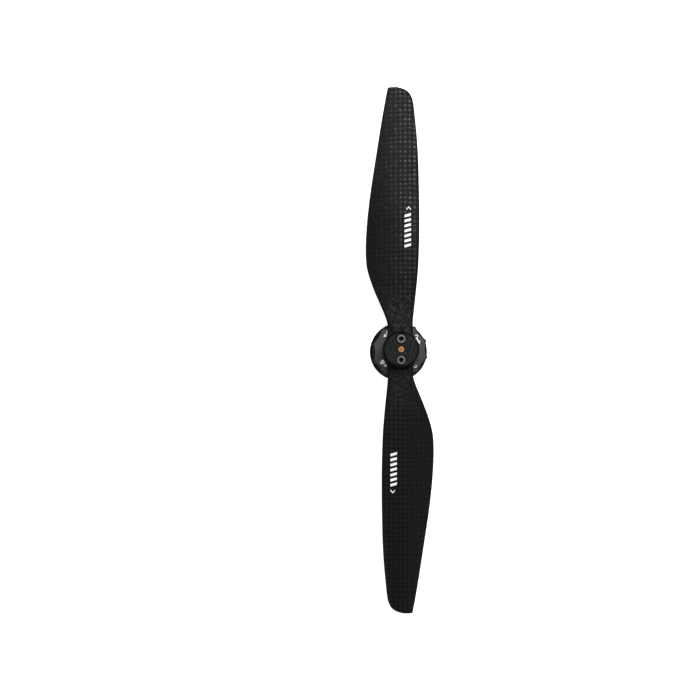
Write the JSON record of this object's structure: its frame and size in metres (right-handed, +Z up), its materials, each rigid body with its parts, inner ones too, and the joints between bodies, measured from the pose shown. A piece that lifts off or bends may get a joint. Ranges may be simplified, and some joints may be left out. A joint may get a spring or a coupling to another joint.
{
  "type": "quick release drone propeller",
  "caption": "Two-blade carbon fibre propeller with a clamped round root, on a scalloped twist-lock hub that takes a motor stub.",
  "frame": {"origin": "on the spin axis, at the hub's seat face that rests on the motor", "axes": "+Z up the spin axis towards the cap, Y along the blades; seen from above it turns clockwise"},
  "size_m": [0.0398, 0.3048, 0.019],
  "materials": {
    "carbon_laminate": "clear-coated plain-weave carbon fibre",
    "cap_coating": "matt black textured coating",
    "marker_orange": "orange enamel",
    "bush_steel": "turned",
    "washer_polymer": "black bearing polymer",
    "hub_anodised": "black anodised",
    "plate_anodised": "black anodised",
    "ring_anodised": "dark grey anodised, fine blasted",
    "locking_steel": "ground",
    "plunger_steel": "turned and polished",
    "spring_steel": "drawn wire",
    "screw_steel": "satin stainless",
    "insert_brass": "turned",
    "pin_steel": "ground",
    "printed_white": "white printed marks on the blades and the ring"
  },
  "bodies": {
    "hub": {"carbon_blade": "carbon_laminate", "top_cap": "cap_coating", "rotation_marker": "marker_orange", "centring_bush": "bush_steel", "thrust_washer": "washer_polymer", "hub_body": "hub_anodised", "entry_plate": "plate_anodised", "clamp_screw_front": "screw_steel", "clamp_screw_back": "screw_steel", "thread_insert_front": "insert_brass", "thread_insert_back": "insert_brass", "plate_screw_1": "screw_steel", "plate_screw_2": "screw_steel", "plate_screw_3": "screw_steel"},
    "lock_ring": {"lock_ring": "ring_anodised", "locking_plate": "locking_steel", "drive_pin_1": "pin_steel", "drive_pin_2": "pin_steel", "drive_pin_3": "pin_steel", "return_spring": "spring_steel"},
    "plunger": {"plunger": "plunger_steel", "plunger_spring": "spring_steel"}
  },
  "joints": [
    {"name": "lock_ring_turn", "type": "hinge", "parent": "hub", "child": "lock_ring", "pos_m": [0, 0, 0.0083], "axis": [0, 0, 1], "range_deg": [-45, 0], "stiffness_Nm_per_rad": 0.03, "springref_deg": 30, "deforming": ["return_spring"]},
    {"name": "plunger_press", "type": "slide", "parent": "hub", "child": "plunger", "axis": [0, 0, 1], "range_m": [0, 0.0012], "stiffness_N_per_m": 800, "springref_m": -0.0008, "deforming": ["plunger_spring"]}
  ]
}
